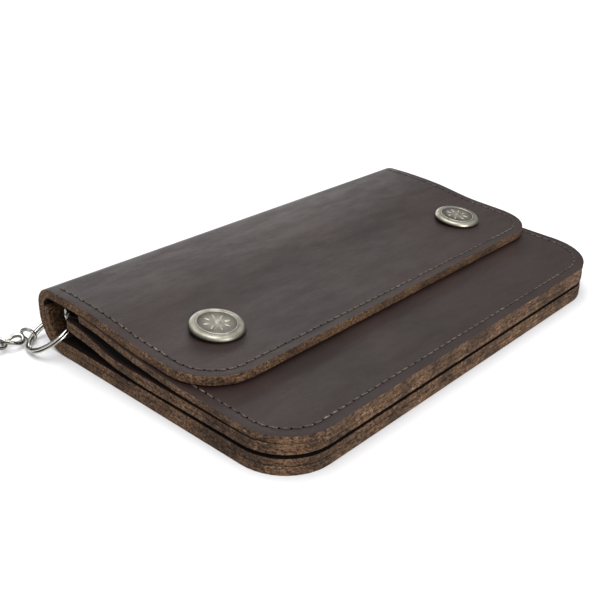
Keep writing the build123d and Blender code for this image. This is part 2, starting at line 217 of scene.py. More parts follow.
def thicken(obj, thickness, finishes, bevel=0.35):
    """Gives a sheet its thickness: finishes are for its face, its back and its cut edge."""
    for finish in finishes:
        obj.data.materials.append(finish)
    solid = obj.modifiers.new("Thickness", "SOLIDIFY")
    solid.thickness = thickness * MM
    solid.offset = -1
    solid.use_even_offset = True
    solid.material_offset = 1
    solid.material_offset_rim = 2
    apply_all(obj)
    if bevel:
        soften(obj, bevel)
    return obj


def soften(obj, width, segments=3):
    edges = obj.modifiers.new("Soft edges", "BEVEL")
    edges.width = width * MM
    edges.segments = segments
    edges.limit_method = "ANGLE"
    edges.angle_limit = math.radians(50)
    edges.use_clamp_overlap = True
    apply_all(obj)
    bpy.ops.object.shade_smooth_by_angle(angle=math.radians(50))


# %% [markdown]
# ## Finishes
# Each effect that several materials share is one node group.

# %%
def tree_node(tree, kind, place, **inputs):
    item = tree.nodes.new(kind)
    item.location = place
    for key, value in inputs.items():
        item.inputs[key.replace("_", " ")].default_value = value
    return item


def new_group(name, outputs, inputs=()):
    tree = bpy.data.node_groups.new(name, "ShaderNodeTree")
    tree.interface.new_socket("Place", in_out="INPUT", socket_type="NodeSocketVector")
    for label, value in inputs:
        kind = "NodeSocketColor" if isinstance(value, tuple) else "NodeSocketFloat"
        socket = tree.interface.new_socket(label, in_out="INPUT", socket_type=kind)
        socket.default_value = value
    for label, kind in outputs:
        tree.interface.new_socket(label, in_out="OUTPUT", socket_type=kind)
    start = tree.nodes.new("NodeGroupInput")
    start.location = (-900, 0)
    end = tree.nodes.new("NodeGroupOutput")
    end.location = (900, 0)
    return tree, start, end


def mapped(tree, source, scale, place):
    item = tree_node(tree, "ShaderNodeMapping", place, Scale=scale)
    tree.links.new(source, item.inputs["Vector"])
    return item.outputs["Vector"]


def noise(tree, vector, scale, detail, rough, place):
    item = tree_node(tree, "ShaderNodeTexNoise", place, Scale=scale, Detail=detail, Roughness=rough)
    tree.links.new(vector, item.inputs["Vector"])
    return item.outputs["Fac"]


def stepped(tree, source, low, high, to_low, to_high, place):
    item = tree_node(tree, "ShaderNodeMapRange", place)
    item.interpolation_type = "SMOOTHSTEP"
    tree.links.new(source, item.inputs["Value"])
    for key, value in (("From Min", low), ("From Max", high), ("To Min", to_low), ("To Max", to_high)):
        item.inputs[key].default_value = value
    return item.outputs["Result"]


def colour_mix(tree, factor, first, second, place, kind="MIX"):
    item = tree.nodes.new("ShaderNodeMix")
    item.data_type = "RGBA"
    item.blend_type = kind
    item.location = place
    for socket, value in ((item.inputs["Factor"], factor), (item.inputs[6], first), (item.inputs[7], second)):
        if isinstance(value, (tuple, float, int)):
            socket.default_value = value
        else:
            tree.links.new(value, socket)
    return item.outputs[2]


def added(tree, first, second, place, kind="ADD"):
    item = tree.nodes.new("ShaderNodeMath")
    item.operation = kind
    item.location = place
    for socket, value in zip(item.inputs, (first, second)):
        if isinstance(value, (float, int)):
            socket.default_value = value
        else:
            tree.links.new(value, socket)
    return item.outputs[0]


COLOUR, FLOAT = "NodeSocketColor", "NodeSocketFloat"


def make_grain_group():
    """Smooth waxed leather: pores, faint creases and a slow change of tone."""
    tree, start, end = new_group("waxed_grain", [("Color", COLOUR), ("Roughness", FLOAT), ("Height", FLOAT)],
                                 [("Dark", (0.0115, 0.0054, 0.0044, 1)),
                                  ("Light", (0.0205, 0.0108, 0.0090, 1))])
    place = start.outputs["Place"]
    cells = tree_node(tree, "ShaderNodeTexVoronoi", (-600, 300), Scale=1500.0)
    cells.feature = "DISTANCE_TO_EDGE"
    wobble = tree_node(tree, "ShaderNodeTexNoise", (-800, 300), Scale=420.0, Detail=2.0)
    tree.links.new(place, wobble.inputs["Vector"])
    shift = tree_node(tree, "ShaderNodeVectorMath", (-700, 200))
    shift.operation = "MULTIPLY_ADD"
    shift.inputs[1].default_value = (0.0011, 0.0011, 0.0011)
    tree.links.new(wobble.outputs["Color"], shift.inputs[0])
    tree.links.new(place, shift.inputs[2])
    tree.links.new(shift.outputs["Vector"], cells.inputs["Vector"])
    pores = stepped(tree, cells.outputs["Distance"], 0.0, 0.12, 0.0, 1.0, (-400, 300))
    tone = noise(tree, place, 26.0, 5.0, 0.6, (-600, 0))
    tone = stepped(tree, tone, 0.32, 0.70, 0.0, 1.0, (-400, 0))
    fine = noise(tree, place, 900.0, 4.0, 0.65, (-600, -200))
    scuff = noise(tree, mapped(tree, place, (60.0, 190.0, 190.0), (-800, -400)), 1.0, 6.0, 0.7, (-600, -400))
    mixed = colour_mix(tree, tone, start.outputs["Dark"], start.outputs["Light"], (0, 200))
    shade = stepped(tree, fine, 0.3, 0.7, 0.86, 1.12, (-200, -200))
    mixed = colour_mix(tree, 1.0, mixed, shade, (200, 200), "MULTIPLY")
    tree.links.new(mixed, end.inputs["Color"])
    rough = added(tree, stepped(tree, scuff, 0.3, 0.7, 0.40, 0.54, (0, -300)),
                  stepped(tree, fine, 0.2, 0.8, -0.03, 0.04, (0, -500)), (300, -300))
    tree.links.new(rough, end.inputs["Roughness"])
    height = added(tree, added(tree, pores, 0.5, (0, 0), "MULTIPLY"), fine, (300, 0))
    tree.links.new(added(tree, height, scuff, (500, 0)), end.inputs["Height"])
    return tree


def make_fibre_group():
    """Cut leather: matted fibres, dark pits and pale specks."""
    tree, start, end = new_group("cut_fibres", [("Color", COLOUR), ("Roughness", FLOAT), ("Height", FLOAT)],
                                 [("Dark", (0.019, 0.009, 0.005, 1)), ("Middle", (0.118, 0.064, 0.034, 1)),
                                  ("Pale", (0.37, 0.240, 0.130, 1))])
    place = start.outputs["Place"]
    along = mapped(tree, place, (900.0, 900.0, 1500.0), (-800, 300))
    strands = noise(tree, along, 1.0, 6.0, 0.75, (-600, 300))
    blotch = noise(tree, place, 300.0, 5.0, 0.65, (-600, 0))
    specks = noise(tree, place, 2400.0, 3.0, 0.7, (-600, -300))
    base = colour_mix(tree, stepped(tree, strands, 0.38, 0.56, 0.0, 1.0, (-300, 300)),
                      start.outputs["Dark"], start.outputs["Middle"], (0, 300))
    pale = added(tree, stepped(tree, strands, 0.50, 0.72, 0.0, 0.9, (-300, 100)),
                 stepped(tree, blotch, 0.40, 0.66, 0.15, 1.0, (-300, -100)), (-100, 0), "MULTIPLY")
    base = colour_mix(tree, pale, base, start.outputs["Pale"], (200, 200))
    pits = stepped(tree, specks, 0.36, 0.52, 0.45, 1.0, (-300, -300))
    base = colour_mix(tree, 1.0, base, pits, (400, 200), "MULTIPLY")
    patches = noise(tree, place, 95.0, 3.0, 0.6, (-600, -500))
    patches = stepped(tree, patches, 0.34, 0.62, 0.55, 1.30, (-300, -500))
    base = colour_mix(tree, 1.0, base, patches, (600, 200), "MULTIPLY")
    tree.links.new(base, end.inputs["Color"])
    tree.links.new(stepped(tree, specks, 0.2, 0.8, 0.95, 0.80, (0, -300)), end.inputs["Roughness"])
    height = added(tree, strands, added(tree, specks, 0.5, (0, -100), "MULTIPLY"), (400, 0))
    tree.links.new(height, end.inputs["Height"])
    return tree


def make_metal_group():
    """Plated metal: hairline scratches and slight smears."""
    tree, start, end = new_group("worn_plate", [("Color", COLOUR), ("Roughness", FLOAT), ("Height", FLOAT)],
                                 [("Clean", (0.75, 0.74, 0.70, 1)), ("Dull", (0.45, 0.43, 0.38, 1)),
                                  ("Polish", 0.2)])
    place = start.outputs["Place"]
    smear = noise(tree, place, 240.0, 5.0, 0.65, (-600, 200))
    along = mapped(tree, place, (2600.0, 340.0, 900.0), (-800, -100))
    scratch = noise(tree, along, 1.0, 4.0, 0.6, (-600, -100))
    mixed = colour_mix(tree, stepped(tree, smear, 0.40, 0.68, 0.0, 1.0, (-300, 200)),
                       start.outputs["Clean"], start.outputs["Dull"], (0, 200))
    tree.links.new(mixed, end.inputs["Color"])
    uneven = stepped(tree, smear, 0.3, 0.7, -0.04, 0.10, (-300, 0))
    rough = added(tree, start.outputs["Polish"], uneven, (0, 0))
    tree.links.new(rough, end.inputs["Roughness"])
    tree.links.new(added(tree, scratch, smear, (0, -200)), end.inputs["Height"])
    return tree


def make_cloth_group():
    """Plain weave: threads over and under."""
    tree, start, end = new_group("plain_weave", [("Color", COLOUR), ("Height", FLOAT)],
                                 [("Dark", (0.002, 0.002, 0.002, 1)), ("Light", (0.010, 0.0095, 0.0095, 1))])
    place = start.outputs["Place"]
    waves = []
    for row, axis in enumerate(("X", "Y")):
        wave = tree_node(tree, "ShaderNodeTexWave", (-600, 200 - 300 * row), Scale=900.0, Distortion=0.6)
        wave.bands_direction = axis
        tree.links.new(place, wave.inputs["Vector"])
        waves.append(wave.outputs["Fac"])
    woven = added(tree, waves[0], waves[1], (-300, 0), "MULTIPLY")
    tree.links.new(colour_mix(tree, woven, start.outputs["Dark"], start.outputs["Light"], (0, 200)),
                   end.inputs["Color"])
    tree.links.new(woven, end.inputs["Height"])
    return tree


grain_group = make_grain_group()
fibre_group = make_fibre_group()
metal_group = make_metal_group()
cloth_group = make_cloth_group()


def finish(name, group, settings, bump, distance, patina_and_shade_strength=0.0, **principled):
    """A material that takes its colour, roughness and relief from one of the groups.

    Its darkening setting mixes a near-black into the points that carry a stored value: real patina in the
    snap caps' hollows, painted shade along the sides of the chain's and the split ring's wire."""
    material = bpy.data.materials.new(name)
    material.use_nodes = True
    tree = material.node_tree
    shader = tree.nodes["Principled BSDF"]
    for key, value in principled.items():
        shader.inputs[key.replace("_", " ")].default_value = value
    where = tree_node(tree, "ShaderNodeTexCoord", (-900, 0))
    effect = tree.nodes.new("ShaderNodeGroup")
    effect.node_tree = group
    effect.location = (-600, 0)
    for key, value in settings.items():
        effect.inputs[key].default_value = value
    tree.links.new(where.outputs["Object"], effect.inputs["Place"])
    for key, target in (("Color", "Base Color"), ("Roughness", "Roughness")):
        if key in effect.outputs:
            tree.links.new(effect.outputs[key], shader.inputs[target])
    if patina_and_shade_strength:
        # Mixes towards near-black where the stored value is set: real patina on the snap caps, painted shade
        # on the chain's and ring's wire.
        patina_and_shade = tree.nodes.new("ShaderNodeAttribute")
        patina_and_shade.attribute_name = "patina_and_shade"
        patina_and_shade.location = (-600, 300)
        amount = added(tree, patina_and_shade.outputs["Fac"], patina_and_shade_strength, (-400, 300), "MULTIPLY")
        patina_and_shade_mix = colour_mix(tree, amount, effect.outputs["Color"], (0.012, 0.011, 0.009, 1), (-200, 300))
        tree.links.new(patina_and_shade_mix, shader.inputs["Base Color"])
    relief = tree_node(tree, "ShaderNodeBump", (-300, -200), Strength=bump, Distance=distance * MM)
    tree.links.new(effect.outputs["Height"], relief.inputs["Height"])
    tree.links.new(relief.outputs["Normal"], shader.inputs["Normal"])
    return material


def tones(dark, middle, pale):
    return {"Dark": (*dark, 1), "Middle": (*middle, 1), "Pale": (*pale, 1)}


def plating(clean, dull, polish):
    return {"Clean": (*clean, 1), "Dull": (*dull, 1), "Polish": polish}


# The suede is near-black as painted shade for the wallet's inside; its lit copy is a brighter brown, painted
# light where light reaches up the spine's inside.
shaded_suede_tones = tones((0.003, 0.002, 0.0015), (0.009, 0.0055, 0.004), (0.018, 0.011, 0.008))
lit_suede_tones = tones((0.006, 0.003, 0.002), (0.055, 0.028, 0.014), (0.20, 0.115, 0.058))
thread_tones = tones((0.030, 0.023, 0.018), (0.095, 0.075, 0.062), (0.38, 0.330, 0.285))
# Needle holes are a near-black patch, painted shade inside each hole.
hole_shade_tones = tones((0.002, 0.001, 0.001), (0.006, 0.004, 0.003), (0.010, 0.007, 0.006))
bright_plate = plating((0.66, 0.65, 0.60), (0.44, 0.42, 0.37), 0.14)
antique_plate = plating((0.36, 0.340, 0.285), (0.24, 0.225, 0.18), 0.36)
brass_plate = plating((0.46, 0.36, 0.20), (0.22, 0.17, 0.10), 0.36)

grain = finish("leather_grain", grain_group, {}, 0.30, 0.10, Specular_IOR_Level=0.235)
# Near-black suede is painted shade; the lit copy two lines down is painted light.
shaded_suede = finish("leather_suede_shaded", fibre_group, shaded_suede_tones, 0.5, 0.15, Specular_IOR_Level=0.15)
raw_edge = finish("leather_cut_edge", fibre_group, {}, 0.8, 0.35, Specular_IOR_Level=0.25)
lit_suede = finish("leather_suede_lit", fibre_group, lit_suede_tones, 0.8, 0.4, Specular_IOR_Level=0.15)
thread = finish("waxed_thread", fibre_group, thread_tones, 0.4, 0.05)
# Needle holes: painted shade.
hole_shade = finish("needle_hole_shade", fibre_group, hole_shade_tones, 0.1, 0.05, Specular_IOR_Level=0.0)
cloth = finish("pocket_cloth", cloth_group, {}, 0.5, 0.15, Roughness=0.9, Specular_IOR_Level=0.2)
# The bright nickel's darkening is painted shade on the chain's and ring's wire; the antique nickel's is real
# patina in the caps' hollows.
nickel = finish("bright_nickel", metal_group, bright_plate, 0.05, 0.03, patina_and_shade_strength=0.9, Metallic=1.0)
antique = finish("antique_nickel", metal_group, antique_plate, 0.2, 0.06, patina_and_shade_strength=0.85, Metallic=1.0)
brass = finish("antique_brass", metal_group, brass_plate, 0.1, 0.05, Metallic=1.0)
print("finishes", [m.name for m in bpy.data.materials])

# %% [markdown]
# ## Outer leather
# The wrap is two sheets that meet half way up the spine: one bends between the back
# and the spine, the other between the spine and the flap.

# %%
join_z = 13.7
lower_c = (spine_y - lower_r, lower_r)
upper_c = (spine_y - upper_r, height - upper_r)


def bend_rows(centre, radius, a0, a1, steps):
    rows = []
    for i in range(steps + 1):
        a = math.radians(a0 + (a1 - a0) * i / steps)
        rows.append((centre[0] + radius * math.cos(a), centre[1] + radius * math.sin(a), half_length, 0.0))
    return rows


def open_at_join(obj):
    """Takes away the cut face where the two sheets of the wrap meet."""
    only(obj)
    bpy.ops.object.mode_set(mode="EDIT")
    bpy.ops.mesh.select_mode(type="FACE")
    bpy.ops.mesh.select_all(action="DESELECT")
    done()
    for face in obj.data.polygons:
        face.select = all(abs(obj.data.vertices[i].co.z - join_z * MM) < 1e-6 for i in face.vertices)
    bpy.ops.object.mode_set(mode="EDIT")
    bpy.ops.mesh.delete(type="FACE")
    bpy.ops.mesh.select_mode(type="VERT")
    done()


rows = [cut_row(y, 0.0, front_y, spine_y, 0) for y in stations(front_y, lower_c[0], right_corner_r, 0)]
rows += bend_rows(lower_c, lower_r, -90, 0, 18)[1:] + [(spine_y, join_z, half_length, 0.0)]
wrap_back = pull_sheet("wrap_back", rows)
face_out(wrap_back, (0, 0, -1))
thicken(wrap_back, leather, (grain, shaded_suede, raw_edge), bevel=0)
open_at_join(wrap_back)
soften(wrap_back, 0.4)
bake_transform(wrap_back)
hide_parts("back_panel")
report(wrap_back)

# %%
rows = [(spine_y, join_z, half_length, 0.0)] + bend_rows(upper_c, upper_r, 0, 90, 14)
places = stations(flap_line[0][0], upper_c[0], corner_r, 0)
rows += [(y, smooth_z(flap_line, y), half_width(y, flap_line[0][0], spine_y, corner_r, 0, half_length), 0.0)
         for y in reversed(places[:-1])]
wrap_front = pull_sheet("wrap_front", rows)
face_out(wrap_front, (0, 1, 0))
thicken(wrap_front, leather, (grain, shaded_suede, raw_edge), bevel=0)
open_at_join(wrap_front)
soften(wrap_front, 0.4)
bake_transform(wrap_front)
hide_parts("spine", "flap")
report(wrap_front)

# %% [markdown]
# ## Lining of the back
# It follows the lower bend and stops part of the way up the spine.

# %%
lining_r = lower_r - leather
rows = [cut_row(y, leather - 0.2, front_y + 0.15, spine_y, 0, 0.1)
        for y in stations(front_y + 0.15, lower_c[0], right_corner_r, 0)]
bend = bend_rows(lower_c, lining_r + 0.2, -90, 0, 14)[1:]
rows += [(y, z, half_length - 0.1, 0.0) for y, z, _, _ in bend]
rows += [(spine_y - leather + 0.2, upper_c[1], half_length - 0.1, 0.0)]
lining = pull_sheet("back_and_spine_lining", rows)
face_out(lining, (0, 0, -1))
thicken(lining, 2.45, (shaded_suede, shaded_suede, raw_edge), bevel=0.3)
lining.data.materials.append(lit_suede)
# The lining's inside face up the spine takes the lit copy of the suede, painted light; lower down it keeps
# the near-black painted shade.
for face in lining.data.polygons:
    if face.material_index == 1 and face.center.z > 5.5 * MM:
        face.material_index = 3
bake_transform(lining)
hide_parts("back_lining", "spine_lining")
report(lining)


# %% [markdown]
# ## Inner leaves
# Two layers each, sewn together along their edges.

# %%
def leaf(name, line, lift, thickness, finishes, node, inset=0.0):
    y1 = line[-1][0]
    y0 = front_y + inset
    top = lift + thickness
    rows = [cut_row(y, smooth_z(line, y) + top, y0, y1, leaf_end_r, inset)
            for y in stations(y0, y1, right_corner_r, leaf_end_r)]
    obj = pull_sheet(name, rows)
    face_out(obj, (0, 0, 1))
    thicken(obj, thickness, finishes, bevel=0.35)
    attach(obj, "back")
    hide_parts(node)
    return report(obj)


under_finishes = (shaded_suede, shaded_suede, raw_edge)
over_finishes = (grain, shaded_suede, raw_edge)
leaf("middle_leaf_under", middle_line, 0, 1.55, (shaded_suede, grain, raw_edge), "middle_lining")
leaf("middle_leaf_over", middle_top, -1.8, 1.8, over_finishes, "middle_panel", 0.1)
leaf("front_leaf_under", front_line, 0, 1.1, under_finishes, "front_lining", 0.1)
leaf("front_leaf_over", front_line, front_over_lift, front_over_t, over_finishes, "front_panel")

# %% [markdown]
# ## Folded side walls of the pocket
# Each is a strip that folds inwards between the middle and the front leaf.

# %%
def side_wall(name, side, node):
    y0, y1 = front_y + 12, 40.5
    bpy.ops.mesh.primitive_grid_add(x_subdivisions=4, y_subdivisions=30, size=2)
    obj = named(name)
    pick(obj, lambda co: True)
    bpy.ops.transform.resize(value=(1, (y1 - y0) / 2 * MM, 1), center_override=(0, 0, 0))
    bpy.ops.transform.translate(value=(0, (y0 + y1) / 2 * MM, 0))
    done()
    for step in range(5):
        t = step / 4
        inwards = 1.6 + 3.0 * math.sin(math.pi * t)
        pick(obj, lambda co: abs(co.x - (-1 + 2 * t)) < 1e-4)
        bpy.ops.transform.resize(value=(0, 1, 1), center_override=(side * (half_length - inwards) * MM, 0, 0))
        done()
        for vertex in [v for v in obj.data.vertices if v.select]:
            y = vertex.co.y / MM
            low = smooth_z(middle_top, y) - 0.1
            high = smooth_z(front_line, y) + 0.1 - 0.25 * max(0.0, y - 34.5)
            vertex.co.z = (low + (high - low) * t) * MM
            vertex.co.x += (1 + right_pull * (side > 0)) * askew(y) * MM
    obj.data.materials.append(cloth)
    solid = obj.modifiers.new("Thickness", "SOLIDIFY")
    solid.thickness = 0.5 * MM
    solid.offset = 0
    apply_all(obj)
    bpy.ops.object.shade_smooth_by_angle(angle=math.radians(50))
    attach(obj, "back")
    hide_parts(node)
    return report(obj)


side_wall("side_wall_left", -1, "gusset_left")
side_wall("side_wall_right", 1, "gusset_right")

# %% [markdown]
# ## Stitching
# One stitch with its needle hole, a near-black patch of painted shade, is repeated along each row.

# %%
def row_path(name, points):
    curve = bpy.data.curves.new(name, "CURVE")
    curve.dimensions = "3D"
    curve.twist_mode = "Z_UP"
    spline = curve.splines.new("POLY")
    spline.points.add(len(points) - 1)
    for target, (x, y, z) in zip(spline.points, points):
        target.co = (x * MM, y * MM, z * MM, 1)
    obj = bpy.data.objects.new(name, curve)
    bpy.context.scene.collection.objects.link(obj)
    return obj


def border_end(y_back, y_front, half_x, radius):
    """The left end of a row of stitches, from the spine round the front corner."""
    flat = [(-half_x, y_back - 1.0 * i) for i in range(int(y_back - y_front - radius))]
    for i in range(17):
        a = math.radians(180 + 90 * i / 16)
        flat.append((-half_x + radius + radius * math.cos(a), y_front + radius + radius * math.sin(a)))
    return flat


def border(y_back, y_front, half_x, radius, right_radius, surface):
    """Points of a row of stitches: along one end, round the front and back along the other end.

    A row whose two radii differ follows the leaves' askew cut."""
    left = border_end(y_back, y_front, half_x, radius)
    right = [(-x, y) for x, y in reversed(border_end(y_back, y_front, half_x, right_radius))]
    x0, x1 = left[-1][0], right[0][0]
    across = int(x1 - x0)
    middle = [(x0 + (x1 - x0) * i / across, y_front) for i in range(1, across)]
    if radius != right_radius:
        left = [(x + askew(y), y) for x, y in left]
        middle = [(x + askew(y) * (1 + right_pull * (x / half_x + 1) / 2), y) for x, y in middle]
        right = [(x + (1 + right_pull) * askew(y), y) for x, y in right]
    return [(x, y, surface(y)) for x, y in left + middle + right]


def path_length(points):
    return sum(math.dist(a, b) for a, b in zip(points, points[1:]))


def stitch_row(name, points, body, pitch=3.2):
    bpy.ops.mesh.primitive_uv_sphere_add(segments=8, ring_count=6, radius=1.0)
    stitch = named(name)
    stitch.data.materials.append(thread)
    stitch.data.materials.append(hole_shade)
    pick(stitch, lambda co: True)
    bpy.ops.transform.rotate(value=math.pi / 2, orient_axis="Y", center_override=(0, 0, 0))
    bpy.ops.transform.resize(value=(1.40 * MM, 0.26 * MM, 0.25 * MM), center_override=(0, 0, 0))
    bpy.ops.transform.rotate(value=math.radians(5), orient_axis="Z", center_override=(0, 0, 0))
    bpy.ops.transform.translate(value=(1.6 * MM, 0, 0.05 * MM))
    # The needle hole: a flat near-black lens on the surface, painted shade inside the hole.
    bpy.ops.mesh.primitive_uv_sphere_add(segments=10, ring_count=4, radius=1.0)
    done()
    pick(stitch, lambda co: co.length > 0.01)
    bpy.ops.transform.resize(value=(0.38 * MM, 0.44 * MM, 0.09 * MM), center_override=(0, 0, 0))
    bpy.ops.transform.translate(value=(3.2 * MM, 0, 0.0))
    bpy.context.object.active_material_index = 1
    bpy.ops.object.material_slot_assign()
    done()
    path = row_path(name + "_line", points)
    total = path_length(points) * MM
    count = int(total / (pitch * MM))
    copies = stitch.modifiers.new("Repeat", "ARRAY")
    copies.use_relative_offset = False
    copies.use_constant_offset = True
    copies.constant_offset_displace = (total / count, 0, 0)
    copies.count = count
    follow = stitch.modifiers.new("Follow", "CURVE")
    follow.object = path
    follow.deform_axis = "POS_X"
    apply_all(stitch)
    bpy.ops.object.shade_smooth()
    bpy.data.objects.remove(path)
    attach(stitch, body)
    return report(stitch)


flap_inset, leaf_inset = 3.4, 3.6
flap_radius = corner_r - flap_inset
flap_points = border(48.0, flap_line[0][0] + flap_inset, half_length - flap_inset, flap_radius, flap_radius,
                     lambda y: smooth_z(flap_line, y) + 0.02)
stitch_row("flap_stitches", flap_points, "flap")
inside_points = [(x, y, z - leather - 0.07) for x, y, z in flap_points]
stitch_row("flap_stitches_inside", inside_points, "flap")
leaf_top = front_over_lift + front_over_t
front_points = border(34.0, front_y + leaf_inset, half_length - leaf_inset, corner_r - leaf_inset,
                      right_corner_r - leaf_inset, lambda y: smooth_z(front_line, y) + leaf_top + 0.02)
stitch_row("front_leaf_stitches", front_points, "back")

# %% [markdown]
# ## Snap caps
# A line of points is spun into a shallow cap with a rolled rim; a plain raised ring
# and a small rosette stand on its middle.

# %%
flap_tilt = math.atan2(smooth_z(flap_line, snap_y + 1) - smooth_z(flap_line, snap_y - 1), 2.0)
flap_top = smooth_z(flap_line, snap_y)


def pull_line(name, points):
    """A chain of points in the XZ plane, in millimetres."""
    bpy.ops.mesh.primitive_plane_add(size=2)
    obj = named(name)
    pick(obj, lambda co: not (co.x > 0 and co.y > 0))
    bpy.ops.mesh.delete(type="VERT")
    bpy.ops.mesh.select_all(action="SELECT")
    x, z = points[0]
    bpy.ops.transform.translate(value=(x * MM - 1, -1, z * MM))
    for (x0, z0), (x1, z1) in zip(points, points[1:]):
        move = {"value": ((x1 - x0) * MM, 0, (z1 - z0) * MM)}
        bpy.ops.mesh.extrude_vertices_move(TRANSFORM_OT_translate=move)
    return obj


def spun(name, points, finishes, steps=48, smooth=40):
    """A chain of points spun round the upright axis."""
    obj = pull_line(name, points)
    bpy.ops.mesh.select_all(action="SELECT")
    bpy.ops.mesh.spin(steps=steps, angle=2 * math.pi, center=(0, 0, 0), axis=(0, 0, 1))
    bpy.ops.mesh.select_all(action="SELECT")
    bpy.ops.mesh.remove_doubles(threshold=0.00001)
    bpy.ops.mesh.normals_make_consistent(inside=False)
    done()
    for item in finishes:
        obj.data.materials.append(item)
    bpy.ops.object.shade_smooth_by_angle(angle=math.radians(smooth))
    return obj


def put(obj, place, tilt=0.0):
    """Tips the whole mesh about X and moves it to its place, in millimetres."""
    pick(obj, lambda co: True)
    if tilt:
        bpy.ops.transform.rotate(value=-tilt, orient_axis="X", center_override=(0, 0, 0))
    bpy.ops.transform.translate(value=tuple(c * MM for c in place))
    done()
    return obj


def paint_patina_and_shade(obj, patina_and_shade):
    """Stores how much each point is darkened: real patina in the snap caps' hollows, painted shade on the
    chain's and the ring's wire.
    """
    layer = obj.data.attributes.new("patina_and_shade", "FLOAT", "POINT")
    for i, vertex in enumerate(obj.data.vertices):
        layer.data[i].value = patina_and_shade(vertex.co)


def wire_painted_shade(offset, wire_r):
    """Painted shade for the sides of a wire: offset is the distance from its middle line."""
    return max(0.0, min(1.0, 1.5 * abs(offset) / wire_r - 0.55))


def cap_hollow(co):
    r = math.hypot(co.x, co.y) / MM
    deep = 0.0
    for centre, spread in ((6.7, 0.16), (5.95, 0.16), (1.2, 0.2), (8.8, 0.1)):
        deep = max(deep, math.exp(-((r - centre) / spread) ** 2))
    return deep


cap_points = [(0, 2.34), (0.7, 2.30), (1.05, 2.14), (1.5, 2.12), (5.9, 2.06), (6.05, 2.10), (6.15, 2.22),
              (6.3, 2.26), (6.45, 2.21), (6.55, 2.05), (6.9, 2.02), (7.7, 1.95), (8.2, 1.80), (8.45, 1.48),
              (8.7, 1.10), (8.8, 0.7), (8.78, 0.35), (8.6, 0.12), (8.2, 0.0), (0, 0.0)]
caps = []
for side in (-1, 1):
    cap = spun("snap_cap", cap_points, (antique,), steps=56)
    petals = []
    for i in range(8):
        a = math.radians(45 * i + 22.5)
        where = (3.3 * MM * math.cos(a), 3.3 * MM * math.sin(a), 2.06 * MM)
        bpy.ops.mesh.primitive_uv_sphere_add(segments=12, ring_count=8, radius=0.62 * MM, location=where)
        petals.append(bpy.context.object)
        petals[-1].scale = (1.9, 0.75, 0.36)
        petals[-1].rotation_euler = (0, 0, a)
        petals[-1].data.materials.append(antique)
        bpy.ops.object.shade_smooth()
    bpy.ops.object.select_all(action="DESELECT")
    for petal in petals:
        petal.select_set(True)
    bpy.ops.object.transform_apply(location=True, rotation=True, scale=True)
    cap = join("snap_cap", [cap] + petals)
    paint_patina_and_shade(cap, cap_hollow)
    put(cap, (side * snap_x, snap_y, flap_top + 0.3), flap_tilt + math.radians(3.5))
    caps.append(cap)
snap_caps = join("snap_caps_rosette", caps)
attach(snap_caps, "flap")
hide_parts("snap_caps")
report(snap_caps)

# %% [markdown]
# ## Eyelet
# Two spun flanges and the barrel between them, through the lower part of the spine.

# %%
eyelet_tilt = math.radians(-18.0)
wall = leather + lining_t
eyelet_mid = lower_r - wall / 2
eyelet_at = (-80.5, lower_c[0] + eyelet_mid * math.cos(eyelet_tilt),
             lower_c[1] + eyelet_mid * math.sin(eyelet_tilt))
barrel_r = 3.2
outer_seat = math.sqrt(lower_r ** 2 - barrel_r ** 2) - eyelet_mid
inner_seat = math.sqrt((lower_r - wall) ** 2 - barrel_r ** 2) - eyelet_mid


def turn_to_spine(obj):
    """Turns a piece made upright so that it points out of the spine at the eyelet."""
    pick(obj, lambda co: True)
    bpy.ops.transform.rotate(value=math.pi / 2 - eyelet_tilt, orient_axis="X", center_override=(0, 0, 0))
    done()
    probe = Vector((0, math.cos(eyelet_tilt), math.sin(eyelet_tilt)))
    high = max(v.co.dot(probe) for v in obj.data.vertices)
    low = min(v.co.dot(probe) for v in obj.data.vertices)
    print(obj.name, "along the eyelet", round(low / MM, 2), round(high / MM, 2))
    return put(obj, eyelet_at)


shell = [(2.5, inner_seat - 0.3), (2.5, outer_seat + 0.45), (2.7, outer_seat + 0.62),
         (3.2, outer_seat + 0.66), (3.9, outer_seat + 0.45), (4.25, outer_seat + 0.1),
         (4.2, outer_seat - 0.02), (3.1, outer_seat - 0.05), (3.1, inner_seat - 0.3), (2.5, inner_seat - 0.3)]
eyelet = spun("eyelet_shell", shell, (nickel,))
turn_to_spine(eyelet)
back_ring = [(2.55, inner_seat - 0.2), (2.65, inner_seat - 0.62), (3.1, inner_seat - 0.72),
             (3.8, inner_seat - 0.5), (4.15, inner_seat - 0.1), (4.1, inner_seat), (2.6, inner_seat),
             (2.55, inner_seat - 0.2)]
washer = spun("eyelet_back_ring", back_ring, (nickel,))
turn_to_spine(washer)
for piece, node in ((eyelet, "eyelet"), (washer, "eyelet_washer")):
    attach(piece, "spine")
    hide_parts(node)
    report(piece)

# %% [markdown]
# ## Split ring
# A flattened wire wound two turns round, through the eyelet.

# %%
eyelet_out = Vector((0, math.cos(eyelet_tilt), math.sin(eyelet_tilt)))
eyelet_down = Vector((0, math.sin(eyelet_tilt), -math.cos(eyelet_tilt)))
dip = math.radians(25.0)
ring_out = Vector((-1, 0, 0)) * math.cos(dip) + eyelet_down * math.sin(dip)
ring_r = 9.0
ring_c = Vector(eyelet_at) + ring_out * ring_r
ring_side = ring_out.cross(eyelet_out)

strand_gap, strand_half, strand_wide = 0.95, 0.40, 0.72
bpy.ops.mesh.primitive_circle_add(vertices=12, radius=1, fill_type="NOTHING")
ring = named("split_ring_wire")
pick(ring, lambda co: True)
bpy.ops.transform.resize(value=(strand_wide * MM, strand_half * MM, 1), center_override=(0, 0, 0))
bpy.ops.transform.rotate(value=math.pi / 2, orient_axis="X", center_override=(0, 0, 0))
bpy.ops.transform.translate(value=(ring_r * MM, 0, -strand_gap * MM))
done()
